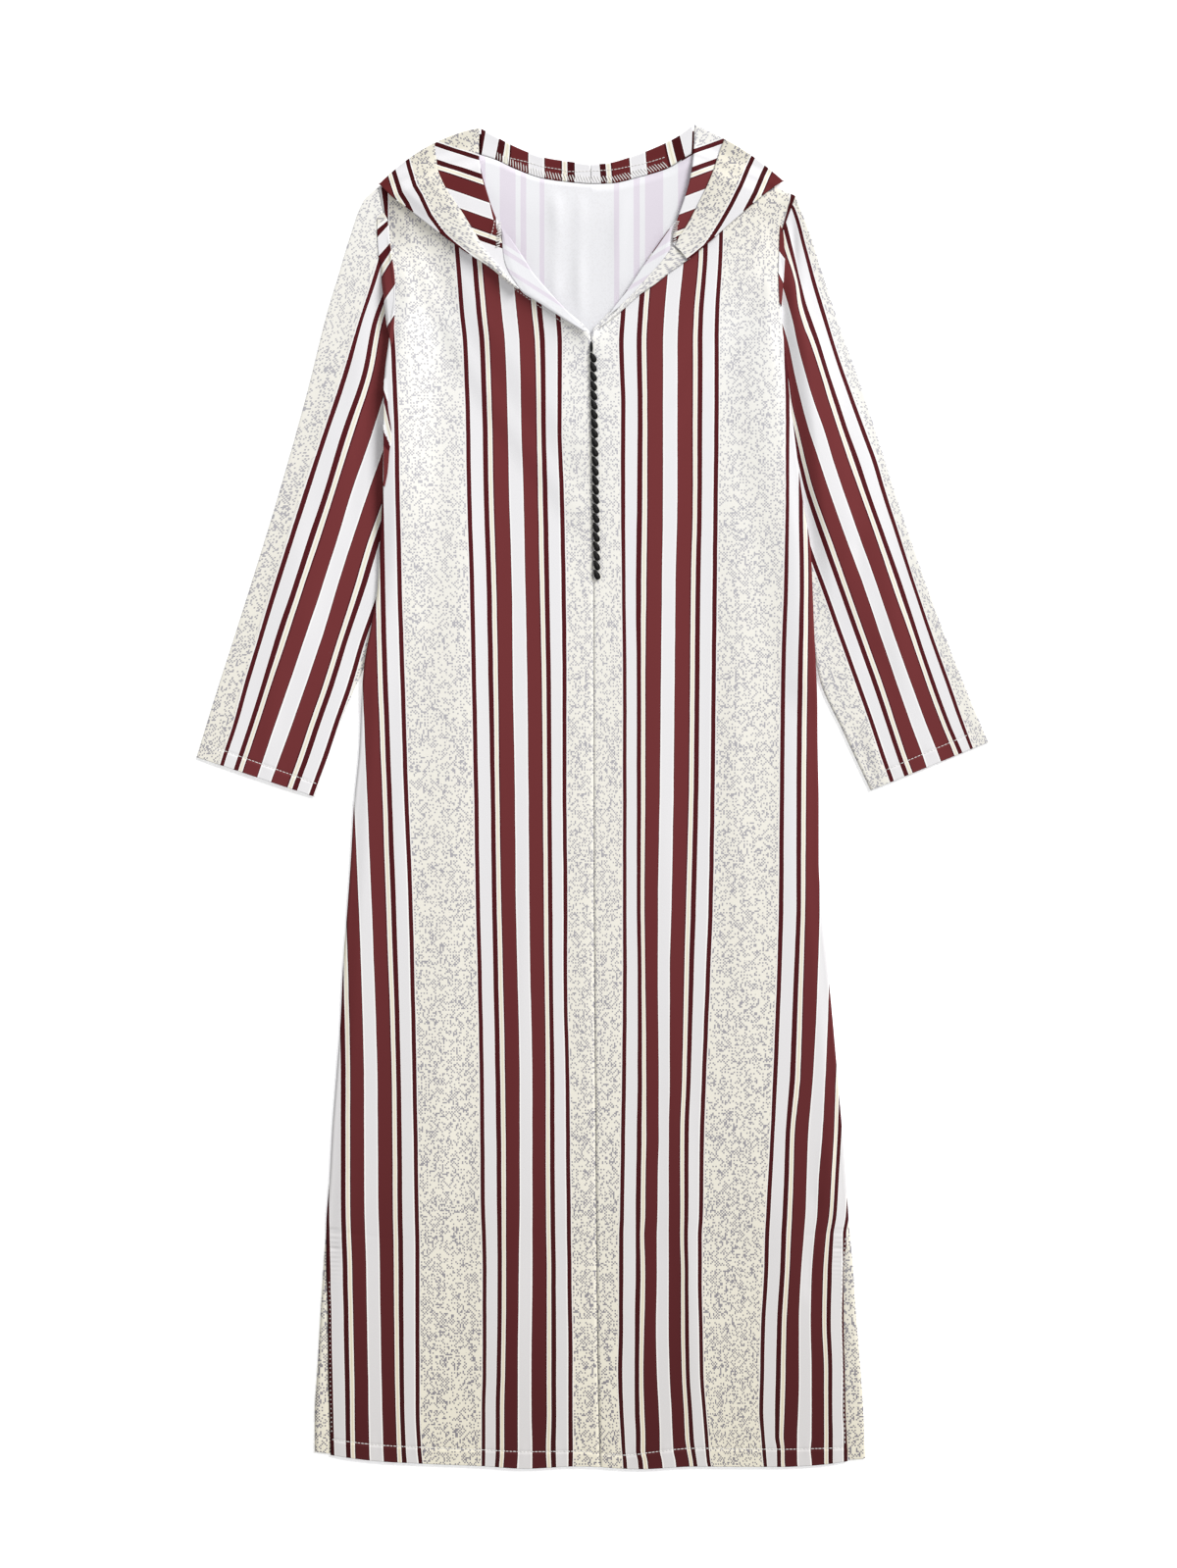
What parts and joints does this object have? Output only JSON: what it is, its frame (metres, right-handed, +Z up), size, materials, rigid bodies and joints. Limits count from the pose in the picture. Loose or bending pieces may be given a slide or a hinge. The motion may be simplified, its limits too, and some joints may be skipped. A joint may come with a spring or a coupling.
{
  "type": "djellaba robe",
  "caption": "Hooded long-sleeved djellaba robe in striped satin, laid flat face up, with a V neck, side slits and a braided front.",
  "frame": {"origin": "on the floor under the middle of the laid robe's box", "axes": "+X from the robe's left-hand side as seen to its right-hand side, +Y from the hem to the shoulders, +Z up out of the front"},
  "size_m": [0.8086, 1.372, 0.0123],
  "materials": {
    "striped_cloth": "smooth satin-like polyester with woven maroon, white and cream stripes",
    "cloth_wrong_side": "matt pale wrong side of the striped cloth",
    "braid": "black rayon cord, slight sheen"
  },
  "bodies": {
    "root": {"back": "striped_cloth", "front_left": "striped_cloth", "front_right": "striped_cloth", "hood_bag": "striped_cloth", "hood_left": "striped_cloth", "hood_right": "striped_cloth", "hood_neck_left": "striped_cloth", "hood_neck_right": "striped_cloth", "neck_band_right": "striped_cloth", "sleeve_left": "striped_cloth", "sleeve_right": "striped_cloth", "neck_turn_left": "cloth_wrong_side", "neck_turn_right": "cloth_wrong_side", "braid_tip": "braid", "braid_bead_01": "braid", "braid_bead_02": "braid", "braid_bead_03": "braid", "braid_bead_04": "braid", "braid_bead_05": "braid", "braid_bead_06": "braid", "braid_bead_07": "braid", "braid_bead_08": "braid", "braid_bead_09": "braid", "braid_bead_10": "braid", "braid_bead_11": "braid", "braid_bead_12": "braid", "braid_bead_13": "braid", "braid_bead_14": "braid", "braid_bead_15": "braid", "braid_bead_16": "braid", "braid_bead_17": "braid", "braid_bead_18": "braid", "braid_bead_19": "braid", "braid_bead_20": "braid", "braid_bead_21": "braid", "braid_bead_22": "braid", "braid_bead_23": "braid", "braid_bead_24": "braid"}
  },
  "joints": []
}
